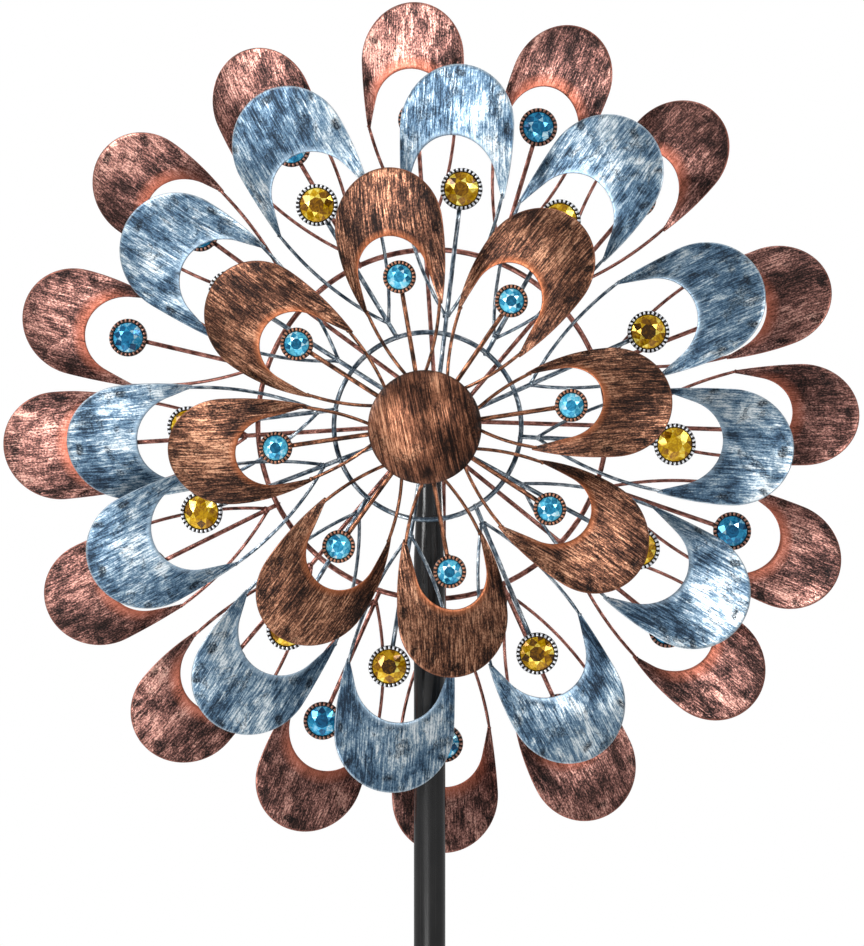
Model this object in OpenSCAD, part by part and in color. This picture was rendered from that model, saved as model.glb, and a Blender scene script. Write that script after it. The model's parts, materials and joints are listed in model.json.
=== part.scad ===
// Kinetic wind sculpture: three free-spinning flower rotors on one fixed axle,
// carried by a three-section pole with a ground stake.
// Millimetres. +Z is up, the rotors face -Y, the ground is the plane z = 0.

/* [Overall] */
// Height of the rotor axle above the ground
hub_h = 1580; // [1200:5:1800]
// Tip radius of the rear rotor, half the width of the whole flower
rear_apex = 304.5; // [250:0.5:360]
// Tip radius of the middle rotor
mid_apex = 255.5; // [210:0.5:300]
// Tip radius of the front rotor
front_apex = 178.7; // [150:0.5:210]
// Sheet thickness of the petals
petal_t = 1.0; // [0.8:0.1:1.5]

/* [Rotor spacing along the axle] */
// Distance from the pole axis back to the rear rotor's wire plane
rear_y = 40; // [38:0.5:48]
// Distance from the pole axis forward to the middle rotor's wire plane
mid_y = 33; // [33:0.5:40]
// Distance from the pole axis forward to the front rotor's wire plane
front_y = 73; // [72:0.5:90]

/* [Petals] */
// Half width of a front petal
front_hw = 41.1; // [36:0.1:43]
// Half width of a middle petal
mid_hw = 43.5; // [38:0.1:45]
// Half width of a rear petal
rear_hw = 40.3; // [35:0.1:43]
// Radial thickness of a front petal at its middle
front_band = 47.3; // [38:0.1:50]
// Radial thickness of a middle petal at its middle
mid_band = 49.9; // [40:0.1:54]
// Radial thickness of a rear petal at its middle
rear_band = 47.8; // [40:0.1:54]
// Half width of the cut in a front petal
front_cut = 26.4; // [20:0.1:28]
// Half width of the cut in a middle petal
mid_cut = 32.5; // [27:0.1:35]
// Half width of the cut in a rear petal
rear_cut = 30.2; // [23:0.1:32]
// Sideways offset of the cut, which leaves one horn broader than the other
cut_shift = 1.8; // [0:0.1:4]
// Dish radius the front petals are pressed to
front_dish = 150; // [120:1:220]
// Dish radius the middle petals are pressed to
mid_dish = 220; // [160:1:300]
// Dish radius the rear petals are pressed to
rear_dish = 200; // [160:1:300]
// Width of a horn at its tip
horn_w = 1.4; // [1:0.1:3]

/* [Wires] */
// Wire of the petal legs
leg_d = 2.4; // [1.8:0.1:3]
// Wire of the spokes and gem stems
spoke_d = 3.2; // [2.6:0.1:4]
// Wire of the middle ring
mid_ring_wire = 3.4; // [2.8:0.1:4.2]
// Wire of the rear ring
rear_ring_wire = 3.8; // [3:0.1:4.6]
// Centreline radius of the middle ring
mid_ring_r = 65.7; // [58:0.1:72]
// Centreline radius of the rear ring
rear_ring_r = 125.4; // [115:0.1:135]

/* [Gems] */
// Outer diameter of a front gem setting
front_bezel_d = 22.8; // [20:0.1:26]
// Outer diameter of a middle gem setting
mid_bezel_d = 29.4; // [26:0.1:32]
// Outer diameter of a rear gem setting
rear_bezel_d = 27.2; // [24:0.1:30]
// Wall of a setting around its gem
bezel_wall = 2.7; // [2:0.1:3.2]
// Clearance of a gem in its setting
gem_gap = 0.05; // [0.02:0.01:0.2]

/* [Hubs and bearings] */
// Diameter of the fixed axle
axle_d = 8; // [7:0.1:8.4]
// Outer diameter of a ball bearing
bearing_od = 22; // [21:0.1:24]
// Width of a ball bearing
bearing_w = 7; // [6:0.5:8]
// Diameter of a bearing ball
ball_d = 3.44; // [3.2:0.02:3.6]
// Running clearance between a ball and either ring
ball_gap = 0.03; // [0.02:0.01:0.1]
// Balls in one bearing
ball_n = 7; // [6:1:8]
// Wall of a hub tube
hub_wall = 2.5; // [2:0.1:4]
// Length of a hub tube
hub_len = 28; // [24:0.5:29]
// Radius of the wire flange on the middle and rear hubs
flange_r = 22; // [20:0.5:30]
// Radius of the wire flange behind the dome
front_flange_r = 37.5; // [34:0.5:38]
// Diameter of the dome cap
dome_d = 78.8; // [77:0.2:84]
// Depth of the dome cap
dome_h = 24; // [23.5:0.5:30]
// Gap between the gem stems and the rim of the dome, which the petal wires pass through
dome_lift = 2.8; // [1.5:0.1:4]

/* [Pole and stake] */
// Outer diameter of the pole tubes
pole_d = 22.4; // [20:0.1:25]
// Wall of the pole tubes
pole_wall = 1.2; // [1:0.1:2]
// Diameter of the swaged neck at the top of the pole
neck_d = 17.8; // [16:0.1:19]
// Height of the joint between the lower and middle tubes
joint1_h = 530; // [400:5:600]
// Height of the joint between the middle and upper tubes
joint2_h = 1050; // [900:5:1100]
// Length of a joint sleeve inside the tubes
coupler_len = 100; // [60:5:140]
// Clearance of the sleeves and the stake spigot in the tubes
sleeve_gap = 0.05; // [0.02:0.01:0.3]
// Depth of the centre spike below ground
spike_len = 260; // [180:5:320]
// Diameter of the centre spike
spike_d = 16; // [12:0.5:18]
// Radius of the circle of side prongs
prong_pitch_r = 88; // [60:1:120]
// Diameter of a side prong
prong_d = 8; // [6:0.5:10]
// Depth of the side prongs below ground
prong_len = 150; // [100:5:200]

/* [Hidden] */
$fn = 64;
// Each petal: angle seen from the front, counted up from the right hand side, how far it
// sits outside its pitch circle, its swing about its own middle, and its pitch.
front_p = [[99.5, 2.6, 0.1, 21.8], [54.5, -1.6, -1, 20.1], [6.9, -6.8, -1.7, 24.3],
           [-34, -0.2, 2.7, 22.5], [-82.3, -4.1, -1.1, 24.8], [-125.3, -1.3, 2.5, 23.4],
           [-173.6, 0.4, -1.2, 26], [146, -1.8, 0.3, 18.4]];
mid_p = [[116, 5.2, 4.4, 19.1], [84, -1.3, 4.8, 21.5], [54.7, 2.3, 1.2, 19.1],
         [24.1, 0, 1.8, 21.1], [-4.2, 1.2, 1.4, 22], [-32.1, 4.1, 3.6, 21.8],
         [-63.5, 4.3, 3.2, 22.1], [-96.5, 3.4, 4.2, 18.1], [-125.5, 2.3, 4, 20.8],
         [-156.4, 3.2, 5.7, 18], [182.8, -1.6, 4.4, 21.9], [144.9, -0.1, 4.4, 16.1]];
rear_p = [[92.8, -1.8, -0.3, 22.3], [69.1, -1, 1.2, 27], [47.7, -3.3, 2.8, 27],
          [20.2, -1.9, 1.1, 27], [1.3, 1.3, 1.4, 27], [-20.5, 6.1, -0.6, 24.2],
          [-41, 0.6, 2.7, 24], [-66.3, 3.3, 3.6, 22.5], [-88.2, 3.9, 2.5, 21.6],
          [-109.4, 4.8, 0, 22.9], [-131, 7.1, 1.1, 18.9], [-153.3, 4.2, 0.8, 18.8],
          [-176.9, 5.1, 2.7, 15], [163.7, 1.7, 2.6, 18.7], [140.1, 3.2, 4.8, 20.7],
          [117.7, -4.1, -1.9, 25]];
// Each gem: angle and how far it sits outside its pitch circle.
front_g = [[99.6, 2], [55.5, 2.5], [8.4, -0.8], [-33.2, 0.2], [-80.2, -1.5], [-125.8, -1],
           [-172, 1.2], [147.1, 2.5]];
mid_g = [[116.6, 2], [81.8, -3.5], [57.2, 0], [23.1, -3], [-4.2, 2.5], [-30, 0], [-64.2, 6],
         [-99, -0.2], [-124.6, 2.4], [-159.1, -1], [180.3, -2.9], [145.8, -3.1]];
rear_g = [[92.8, -8], [70.3, -0.5], [47.7, -8], [20, 0], [-1, 0], [-19.5, 1.7], [-40.9, -2.9],
          [-66, 0], [-87.8, 3], [-110.3, 1], [-130.5, 0], [-153.1, 2.5], [-176.5, 0],
          [164.1, 1], [140.5, -10], [117, -4]];
// Angle at which each spoke crosses its ring.
mid_s = [109, 79.5, 51, 21.6, -6.5, -32.3, -59, -98.8, -130, -159, 170, 143];
rear_s = [92.1, 68, 46.2, 19.1, -0.4, -20, -42.5, -66.2,
          -86.1, -107.4, -130.8, -152.6, -176.5, 161.7, 138, 114.5];

axle_r = axle_d / 2;
hub_r = bearing_od / 2 + hub_wall;
race_in = axle_r + 2;
race_out = race_in + ball_d + 2 * ball_gap;
ball_c = race_in + ball_gap + ball_d / 2;
shoulder = hub_len / 2 - 1 - bearing_w;
boss_r = 9;
boss_half = 14;
dome_z = spoke_d / 2 + dome_lift;
cap_r = (pow(dome_d / 2, 2) + dome_h * dome_h) / (2 * dome_h);
cap_t = 1.2;
pole_r = pole_d / 2;
bore_r = pole_r - pole_wall;
plate_t = 3;
collar_t = 5;
seat_z = plate_t + collar_t;
screw_r = 2.5;
front_gem_r = front_apex - 75.6;
mid_gem_r = mid_apex - 84.5;
rear_gem_r = rear_apex - 78.0;
// Horn tips of each petal, the one that trails back first.
front_tips = [[front_apex - 99.4, front_hw - 11.2], [front_apex - 99.4, 13.1 - front_hw]];
mid_tips = [[mid_apex - 93.9, mid_hw - 0.5], [mid_apex - 93.9, 8.1 - mid_hw]];
rear_tips = [[rear_apex - 89.1, rear_hw - 0.5], [rear_apex - 89.1, 9.2 - rear_hw]];
mid_fork_r = mid_ring_r + 13.5;
rear_fork_r = rear_ring_r + 9.3;

COPPER = [0.47, 0.28, 0.18];
ROSE = [0.48, 0.31, 0.29];
BLUE = [0.36, 0.52, 0.66];
BLACK = [0.06, 0.06, 0.06];
STEEL = [0.6, 0.6, 0.62];

// ---- helpers --------------------------------------------------------------
function polar(r, a) = [r * cos(a), r * sin(a), 0];
function unit(v) = v / norm(v);
function turn_z(p, a) = [p[0] * cos(a) - p[1] * sin(a), p[0] * sin(a) + p[1] * cos(a), p[2]];
function euler(x, y, z) = [atan2(y[2], z[2]), -asin(x[2]), atan2(x[1], x[0])];

// a rotor drawn with its axis along +z is stood up facing -Y
module stand(y) {
  translate([0, y, hub_h]) rotate([90, 0, 0]) children();
}

module tube(r_out, r_in, z0, z1) {
  rotate_extrude() translate([r_in, z0]) square([r_out - r_in, z1 - z0]);
}

// a straight wire from p to q
module wire(p, q, d) {
  v = q - p;
  translate(p) rotate([0, acos(v[2] / norm(v)), atan2(v[1], v[0])])
    cylinder(h = norm(v), d = d);
}

// a wire from p to q bowed towards the direction b by a total turn of t degrees
module bow(p, q, b, t, d) {
  e1 = unit(q - p);
  e2 = unit(b - (b * e1) * e1);
  r = norm(q - p) / (2 * sin(t / 2));
  translate((p + q) / 2 - e2 * r * cos(t / 2)) rotate(euler(e1, e2, cross(e1, e2)))
    rotate([0, 0, 90 - t / 2]) rotate_extrude(angle = t) translate([r, 0]) circle(d = d, $fn = 24);
}

// ---- petals ---------------------------------------------------------------
function arc_r(q, l) = (q * q + l * l) / (2 * q);

// where the line from a horn tip t grazes the cut, a circle of radius r about c
function graze(t, c, r, sg) =
  let (v = t - c, a = atan2(v[1], v[0]) - sg * acos(r / norm(v))) c + r * [cos(a), sin(a)];

// flat outline: rounded outside, round cut from below, two horns
module petal_flat(apex, band, hw, iw, tips) {
  c = apex - hw;
  l = c - tips[0][0];
  m = [apex - band - iw, cut_shift];
  high = tips[0] - [0, horn_w];
  low = tips[1] + [0, horn_w];
  difference() {
    union() {
      translate([c, 0]) circle(r = hw);
      intersection() {
        translate([c, hw - arc_r(hw - tips[0][1], l)])
          circle(r = arc_r(hw - tips[0][1], l), $fn = 128);
        translate([c, arc_r(hw + tips[1][1], l) - hw])
          circle(r = arc_r(hw + tips[1][1], l), $fn = 128);
        translate([tips[0][0], -hw - 1]) square([l, 2 * hw + 2]);
      }
    }
    translate(m) circle(r = iw);
    polygon([graze(low, m, iw - 0.2, -1), low, low - [9, 0], high - [9, 0], high,
             graze(high, m, iw - 0.2, 1)]);
  }
}

function petal_mid(apex, tips) = (apex + tips[1][0]) / 2;
function dish_drop(apex, tips, dish) =
  sqrt(dish * dish - pow(petal_mid(apex, tips) - tips[1][0], 2) - pow(tips[1][1], 2));

// a petal's own frame, moved out, swung and pitched on its rotor
module at_petal(p, mid_x) {
  rotate([0, 0, p[0]]) translate([mid_x + p[1], 0, 0]) rotate([0, 0, p[2]])
    rotate([-p[3], 0, 0]) translate([-mid_x, 0, 0]) children();
}

module petal(apex, band, hw, iw, tips, dish, p) {
  mid_x = petal_mid(apex, tips);
  at_petal(p, mid_x) intersection() {
    translate([0, 0, -12]) linear_extrude(height = 40) petal_flat(apex, band, hw, iw, tips);
    translate([mid_x, 0, -dish_drop(apex, tips, dish)]) difference() {
      sphere(r = dish);
      sphere(r = dish - petal_t);
    }
  }
}

module front_petal(i) {
  color(COPPER) stand(-front_y)
    petal(front_apex, front_band, front_hw, front_cut, front_tips, front_dish, front_p[i]);
}

module mid_petal(i) {
  color(BLUE) stand(-mid_y)
    petal(mid_apex, mid_band, mid_hw, mid_cut, mid_tips, mid_dish, mid_p[i]);
}

module rear_petal(i) {
  color(ROSE) stand(rear_y)
    petal(rear_apex, rear_band, rear_hw, rear_cut, rear_tips, rear_dish, rear_p[i]);
}

// a point of a petal's own frame, on its rotor
function on_rotor(v, p, mid_x) =
  let (y = v[1] * cos(p[3]) + v[2] * sin(p[3]), z = v[2] * cos(p[3]) - v[1] * sin(p[3]))
  turn_z(turn_z([v[0] - mid_x, y, z], p[2]) + [mid_x + p[1], 0, 0], p[0]);

// two legs from a fork to the horns of one petal; the fork's wires part sideways to d
module leg_pair(fork, d, spread, apex, tips, dish, p, t, sink = 0) {
  mid_x = petal_mid(apex, tips);
  drop = dish_drop(apex, tips, dish);
  across = [-d[1], d[0], 0];
  for (tip = tips) {
    s = sign(tip[1]);
    v = tip + [3, -s * 0.9];
    z = sqrt(pow(dish - petal_t / 2, 2) - pow(v[0] - mid_x, 2) - v[1] * v[1]) - drop;
    horn = on_rotor([v[0], v[1], z], p, mid_x);
    side = on_rotor([mid_x, s, 0], p, mid_x) - on_rotor([mid_x, 0, 0], p, mid_x);
    bow(fork + s * spread * across - [0, 0, sink], horn, side, t, leg_d);
  }
}

// ---- gems -----------------------------------------------------------------
function gem_at(r, g) = polar(r + g[1], g[0]);

module bezel(d, r, at) {
  translate(gem_at(r, at)) rotate_extrude()
    polygon([[0, -1.5], [d / 2 - 0.8, -1.5], [d / 2, -0.7], [d / 2, 3.9], [d / 2 - 0.8, 4.7],
             [d / 2 - bezel_wall, 4.7], [d / 2 - bezel_wall, 0.6], [0, 0.6]]);
}

module gem(d, r, at) {
  g = d / 2 - bezel_wall - gem_gap;
  translate(gem_at(r, at)) rotate([0, 0, at[0]]) {
    translate([0, 0, 0.6]) cylinder(r = g, h = 3.4);
    translate([0, 0, 4]) cylinder(r1 = g - 0.2, r2 = g * 0.55, h = 2.8, $fn = 10);
  }
}

// ---- hubs -----------------------------------------------------------------
module hub(fr) {
  z = -spoke_d / 2 + 0.05;
  difference() {
    union() {
      cylinder(r = hub_r, h = hub_len, center = true);
      translate([0, 0, z - 1.6]) cylinder(r = fr, h = 1.6);
    }
    cylinder(r = bearing_od / 2 - 1, h = hub_len + 2, center = true);
    translate([0, 0, shoulder]) cylinder(r = bearing_od / 2, h = hub_len);
    translate([0, 0, -shoulder - hub_len]) cylinder(r = bearing_od / 2, h = hub_len);
  }
}

module bearings() {
  for (s = [-1, 1]) {
    zc = s * (shoulder + bearing_w / 2);
    tube(bearing_od / 2, race_out, zc - bearing_w / 2, zc + bearing_w / 2);
    for (i = [0 : ball_n - 1])
      rotate([0, 0, i * 360 / ball_n]) translate([ball_c, 0, zc]) sphere(d = ball_d, $fn = 24);
  }
}

// a straight spoke through its ring point to the edge of its gem setting
module spoke(ring_r, ring_a, gem_r, at, bezel_d, reach) {
  p = polar(ring_r, ring_a);
  g = gem_at(gem_r, at);
  d = unit(g - p);
  start = reach ? p - d * (ring_r - hub_r - 2) : p;
  wire(start, g - d * (bezel_d / 2 - 1.5), spoke_d);
}

// the direction of a spoke, and where it forks into its petal's legs
function spoke_dir(ring_r, ring_a, gem_r, at) = unit(gem_at(gem_r, at) - polar(ring_r, ring_a));
function fork_at(ring_r, ring_a, gem_r, at, fork_r) =
  polar(ring_r, ring_a) + spoke_dir(ring_r, ring_a, gem_r, at) * (fork_r - ring_r);

// ---- stand ----------------------------------------------------------------
module ground_spike() {
  sr = bore_r - sleeve_gap;
  neck = spike_d / 2 - 0.5;
  color(STEEL) difference() {
    rotate_extrude() polygon([[0, -spike_len], [spike_d / 2, -spike_len + 42], [spike_d / 2, 0],
      [neck, 0], [neck, plate_t], [pole_r + 2.4, plate_t], [pole_r + 2.4, seat_z], [sr, seat_z], [sr, seat_z + 68],
      [sr - 2, seat_z + 70], [0, seat_z + 70]]);
    translate([0, 0, seat_z + 40]) rotate([-90, 0, 0]) cylinder(r = screw_r, h = pole_r + 5);
  }
}

module foot_plate() {
  span = 2 * prong_pitch_r + 2 * prong_d;
  color(BLACK) difference() {
    union() {
      translate([-span / 2, -12, 0]) cube([span, 24, plate_t]);
      translate([-12, -span / 2, 0]) cube([24, span, plate_t]);
    }
    translate([0, 0, -1]) cylinder(r = spike_d / 2 - 0.5, h = plate_t + 2);
  }
}

module side_prongs() {
  color(BLACK) for (i = [0 : 3])
    rotate([0, 0, i * 90]) translate([prong_pitch_r, 0, 0]) rotate_extrude()
      polygon([[0, -prong_len], [prong_d / 2, -prong_len + 20], [prong_d / 2, 0], [0, 0]]);
}

module screw_at(z, r) {
  translate([0, 0, z]) rotate([-90, 0, 0]) cylinder(r = r, h = pole_r + 20);
}

module pole_lower() {
  color(BLACK) difference() {
    tube(pole_r, bore_r, seat_z, joint1_h);
    screw_at(seat_z + 40, screw_r);
    screw_at(joint1_h - 30, screw_r);
  }
}

module pole_middle() {
  color(BLACK) difference() {
    tube(pole_r, bore_r, joint1_h, joint2_h);
    screw_at(joint1_h + 30, screw_r);
    screw_at(joint2_h - 30, screw_r);
  }
}

module pole_upper() {
  n = neck_d / 2;
  color(BLACK) difference() {
    rotate_extrude() polygon([[bore_r, joint2_h], [pole_r, joint2_h], [pole_r, hub_h - 94],
      [n, hub_h - 44], [n, hub_h - 2], [n - pole_wall, hub_h - 2], [n - pole_wall, hub_h - 45],
      [bore_r, hub_h - 95]]);
    screw_at(joint2_h + 30, screw_r);
    translate([0, 0, hub_h]) rotate([90, 0, 0]) cylinder(r = boss_r, h = 60, center = true);
  }
}

module pole_couplers() {
  color(STEEL) difference() {
    for (z = [joint1_h, joint2_h])
      tube(bore_r - sleeve_gap, bore_r - sleeve_gap - 1.5, z - coupler_len / 2, z + coupler_len / 2);
    for (z = [joint1_h, joint2_h]) {
      screw_at(z - 30, screw_r);
      screw_at(z + 30, screw_r);
    }
  }
}

module pole_screws() {
  color(STEEL) for (z = [seat_z + 40, joint1_h - 30, joint1_h + 30, joint2_h - 30, joint2_h + 30])
    translate([0, 0, z]) rotate([-90, 0, 0]) {
      translate([0, 0, bore_r - 2.5]) cylinder(r = screw_r - 0.02, h = pole_wall + 3);
      translate([0, 0, pole_r + 0.02]) difference() {
        cylinder(r1 = 4.6, r2 = 3.6, h = 2.8);
        translate([0, 0, 1.4]) cylinder(r = 1.6, h = 2, $fn = 6);
      }
    }
}

module axle_boss() {
  color(BLACK) stand(0) difference() {
    cylinder(r = boss_r, h = 2 * boss_half, center = true);
    cylinder(r = axle_r, h = 2 * boss_half + 2, center = true);
  }
}

axle_front = front_y + shoulder + bearing_w + 10;
axle_back = rear_y + shoulder + bearing_w + 11;

module main_axle() {
  color(STEEL) translate([0, 0, hub_h]) rotate([90, 0, 0]) {
    translate([0, 0, -axle_back + 0.8]) cylinder(r = axle_r, h = axle_front + axle_back - 1.6);
    translate([0, 0, axle_front - 0.8]) cylinder(r1 = axle_r, r2 = axle_r - 0.8, h = 0.8);
    translate([0, 0, -axle_back]) cylinder(r1 = axle_r - 0.8, r2 = axle_r, h = 0.8);
  }
}

module axle_spacers() {
  e = shoulder + bearing_w;
  color(STEEL) stand(0) {
    tube(race_in - 0.2, axle_r, -rear_y - shoulder, -rear_y + shoulder);
    tube(race_in - 0.2, axle_r, -rear_y + e, -boss_half);
    tube(race_in - 0.2, axle_r, boss_half, mid_y - e);
    tube(race_in - 0.2, axle_r, mid_y - shoulder, mid_y + shoulder);
    tube(race_in - 0.2, axle_r, mid_y + e, front_y - e);
    tube(race_in - 0.2, axle_r, front_y - shoulder, front_y + shoulder);
  }
}

module bearing_inner_rings() {
  color(STEEL) stand(0) for (y = [-rear_y, mid_y, front_y]) {
    tube(race_in, axle_r, y - shoulder - bearing_w, y - shoulder);
    tube(race_in, axle_r, y + shoulder, y + shoulder + bearing_w);
  }
}

module axle_washers() {
  e = shoulder + bearing_w;
  color(STEEL) stand(0) {
    tube(race_in - 0.2, axle_r, front_y + e, front_y + e + 1.4);
    tube(race_in - 0.2, axle_r, -rear_y - e - 1.4, -rear_y - e);
  }
}

module axle_nuts() {
  e = shoulder + bearing_w + 1.4;
  color(STEEL) stand(0) for (z = [front_y + e, -rear_y - e - 6.4])
    translate([0, 0, z]) difference() {
      cylinder(r = 7.5, h = 6.4, $fn = 6);
      translate([0, 0, -1]) cylinder(r = axle_r, h = 9);
    }
}

// ---- front rotor ----------------------------------------------------------
module front_hub() {
  color(COPPER) stand(-front_y) hub(front_flange_r);
}

module front_bearings() {
  color(STEEL) stand(-front_y) bearings();
}

module front_stems() {
  color(COPPER) stand(-front_y) for (i = [0 : 7]) {
    start = polar(hub_r + 2, front_p[i][0]);
    g = gem_at(front_gem_r, front_g[i]);
    wire(start, g - unit(g - start) * (front_bezel_d / 2 - 1.5), spoke_d);
  }
}

module front_legs() {
  color(COPPER) stand(-front_y) for (i = [0 : 7]) {
    start = polar(hub_r + 2, front_p[i][0]);
    d = unit(gem_at(front_gem_r, front_g[i]) - start);
    leg_pair(start + d * (front_flange_r - hub_r - 8), d, spoke_d / 2 + leg_d / 2 + 0.15,
      front_apex, front_tips, front_dish, front_p[i], 22, 0.4);
  }
}

module front_bezels() {
  color(COPPER) stand(-front_y) for (g = front_g) bezel(front_bezel_d, front_gem_r, g);
}

module front_gems() {
  color([0.3, 0.75, 0.9]) stand(-front_y) for (g = front_g) gem(front_bezel_d, front_gem_r, g);
}

module dome_cap() {
  zc = dome_z + dome_h - cap_r;
  inner = cap_r - cap_t;
  color(COPPER) stand(-front_y) {
    intersection() {
      translate([0, 0, zc]) difference() {
        sphere(r = cap_r, $fn = 128);
        sphere(r = inner, $fn = 128);
      }
      translate([0, 0, dome_z]) cylinder(r = dome_d, h = dome_h + 5);
    }
    tube(hub_r + 1.5, hub_r, dome_z + 2, zc + sqrt(inner * inner - pow(hub_r + 1.5, 2)) + 0.4);
  }
}

// ---- middle rotor ---------------------------------------------------------
module middle_hub() {
  color(BLUE) stand(-mid_y) hub(flange_r);
}

module middle_bearings() {
  color(STEEL) stand(-mid_y) bearings();
}

module middle_ring() {
  color(BLUE) stand(-mid_y) rotate_extrude() translate([mid_ring_r, 0]) circle(d = mid_ring_wire);
}

module middle_spokes() {
  color(BLUE) stand(-mid_y) for (i = [0 : 11])
    spoke(mid_ring_r, mid_s[i], mid_gem_r, mid_g[i], mid_bezel_d, i % 2 == 1);
}

module middle_legs() {
  color(BLUE) stand(-mid_y) for (i = [0 : 11])
    leg_pair(fork_at(mid_ring_r, mid_s[i], mid_gem_r, mid_g[i], mid_fork_r),
      spoke_dir(mid_ring_r, mid_s[i], mid_gem_r, mid_g[i]), leg_d / 2 + 0.2,
      mid_apex, mid_tips, mid_dish, mid_p[i], 26);
}

module middle_bezels() {
  color(BLUE) stand(-mid_y) for (g = mid_g) bezel(mid_bezel_d, mid_gem_r, g);
}

module middle_gems() {
  color([0.9, 0.7, 0.1]) stand(-mid_y) for (g = mid_g) gem(mid_bezel_d, mid_gem_r, g);
}

// ---- rear rotor -----------------------------------------------------------
module rear_hub() {
  color(ROSE) stand(rear_y) hub(flange_r);
}

module rear_bearings() {
  color(STEEL) stand(rear_y) bearings();
}

module rear_ring() {
  color(ROSE) stand(rear_y) rotate_extrude() translate([rear_ring_r, 0]) circle(d = rear_ring_wire);
}

module rear_spokes() {
  color(ROSE) stand(rear_y) for (i = [0 : 15])
    spoke(rear_ring_r, rear_s[i], rear_gem_r, rear_g[i], rear_bezel_d, i % 2 == 0);
}

module rear_legs() {
  color(ROSE) stand(rear_y) for (i = [0 : 15])
    leg_pair(fork_at(rear_ring_r, rear_s[i], rear_gem_r, rear_g[i], rear_fork_r),
      spoke_dir(rear_ring_r, rear_s[i], rear_gem_r, rear_g[i]), leg_d / 2 + 0.2,
      rear_apex, rear_tips, rear_dish, rear_p[i], 24);
}

module rear_bezels() {
  color(ROSE) stand(rear_y) for (g = rear_g) bezel(rear_bezel_d, rear_gem_r, g);
}

module rear_gems() {
  color([0.15, 0.55, 0.75]) stand(rear_y) for (g = rear_g) gem(rear_bezel_d, rear_gem_r, g);
}

// ---- one line per piece ---------------------------------------------------
ground_spike();
foot_plate();
side_prongs();
pole_lower();
pole_middle();
pole_upper();
pole_couplers();
pole_screws();
axle_boss();
main_axle();
axle_spacers();
bearing_inner_rings();
axle_washers();
axle_nuts();
front_hub();
front_bearings();
front_stems();
front_legs();
front_bezels();
front_gems();
dome_cap();
front_petal(0);  // front_petal_1
front_petal(1);  // front_petal_2
front_petal(2);  // front_petal_3
front_petal(3);  // front_petal_4
front_petal(4);  // front_petal_5
front_petal(5);  // front_petal_6
front_petal(6);  // front_petal_7
front_petal(7);  // front_petal_8
middle_hub();
middle_bearings();
middle_ring();
middle_spokes();
middle_legs();
middle_bezels();
middle_gems();
for (i = [0, 6]) mid_petal(i);  // middle_petals_1
for (i = [1, 7]) mid_petal(i);  // middle_petals_2
for (i = [2, 8]) mid_petal(i);  // middle_petals_3
for (i = [3, 9]) mid_petal(i);  // middle_petals_4
for (i = [4, 10]) mid_petal(i);  // middle_petals_5
for (i = [5, 11]) mid_petal(i);  // middle_petals_6
rear_hub();
rear_bearings();
rear_ring();
rear_spokes();
rear_legs();
rear_bezels();
rear_gems();
for (i = [0, 8]) rear_petal(i);  // rear_petals_1
for (i = [1, 9]) rear_petal(i);  // rear_petals_2
for (i = [2, 10]) rear_petal(i);  // rear_petals_3
for (i = [3, 11]) rear_petal(i);  // rear_petals_4
for (i = [4, 12]) rear_petal(i);  // rear_petals_5
for (i = [5, 13]) rear_petal(i);  // rear_petals_6
for (i = [6, 14]) rear_petal(i);  // rear_petals_7
for (i = [7, 15]) rear_petal(i);  // rear_petals_8
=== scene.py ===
# %% [markdown]
# # A kinetic wind sculpture
# The real thing is a flower of sheet metal petals on three free-spinning rotors. Each rotor
# is a hub, welded wire spokes, glass-clear acrylic gems in toothed settings and cupped petals.
# All three turn on one fixed axle at the top of a black enamelled pole.
# The engineering model is loaded first and never changes. Everything below is laid over it.

import json
import math

import bpy
import numpy as np
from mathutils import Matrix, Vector


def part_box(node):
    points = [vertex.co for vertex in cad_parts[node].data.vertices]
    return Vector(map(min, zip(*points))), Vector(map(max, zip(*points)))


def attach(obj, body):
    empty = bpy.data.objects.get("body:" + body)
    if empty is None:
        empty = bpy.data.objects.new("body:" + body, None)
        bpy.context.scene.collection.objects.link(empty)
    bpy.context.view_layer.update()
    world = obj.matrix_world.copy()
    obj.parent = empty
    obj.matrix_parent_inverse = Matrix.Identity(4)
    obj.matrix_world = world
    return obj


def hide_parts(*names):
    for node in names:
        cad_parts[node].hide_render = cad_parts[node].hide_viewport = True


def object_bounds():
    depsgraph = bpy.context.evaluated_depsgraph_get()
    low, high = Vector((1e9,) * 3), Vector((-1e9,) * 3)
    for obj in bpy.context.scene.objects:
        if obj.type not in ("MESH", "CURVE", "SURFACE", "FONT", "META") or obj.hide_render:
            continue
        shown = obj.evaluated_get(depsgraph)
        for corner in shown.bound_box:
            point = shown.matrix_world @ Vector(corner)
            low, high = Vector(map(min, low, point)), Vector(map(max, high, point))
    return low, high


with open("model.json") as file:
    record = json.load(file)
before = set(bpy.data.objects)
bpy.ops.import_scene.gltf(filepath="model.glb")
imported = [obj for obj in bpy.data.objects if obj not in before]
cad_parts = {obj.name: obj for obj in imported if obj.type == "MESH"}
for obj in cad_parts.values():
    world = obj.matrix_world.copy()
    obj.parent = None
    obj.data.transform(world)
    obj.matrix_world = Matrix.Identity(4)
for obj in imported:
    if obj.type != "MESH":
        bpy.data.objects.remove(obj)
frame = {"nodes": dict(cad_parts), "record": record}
cad_bounds = [list(corner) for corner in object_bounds()]
nodes = frame["nodes"]
MM = 0.001

# %% [markdown]
# ## Where the rotors sit
# Every position comes from the frame: the hubs give each rotor's plane and the axle's height.
# The petals, wires and gems are then set out on that plane in polar coordinates, the way a
# maker would lay them on a welding jig.

# %% Rotor planes from the frame
def middle_of(node):
    low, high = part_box(node)
    return (low + high) / 2


axle_height = middle_of("main_axle").z
planes = {k: middle_of(k + "_hub").y for k in ("front", "middle", "rear")}
print("axle height", round(axle_height, 4), "planes", planes)

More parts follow.
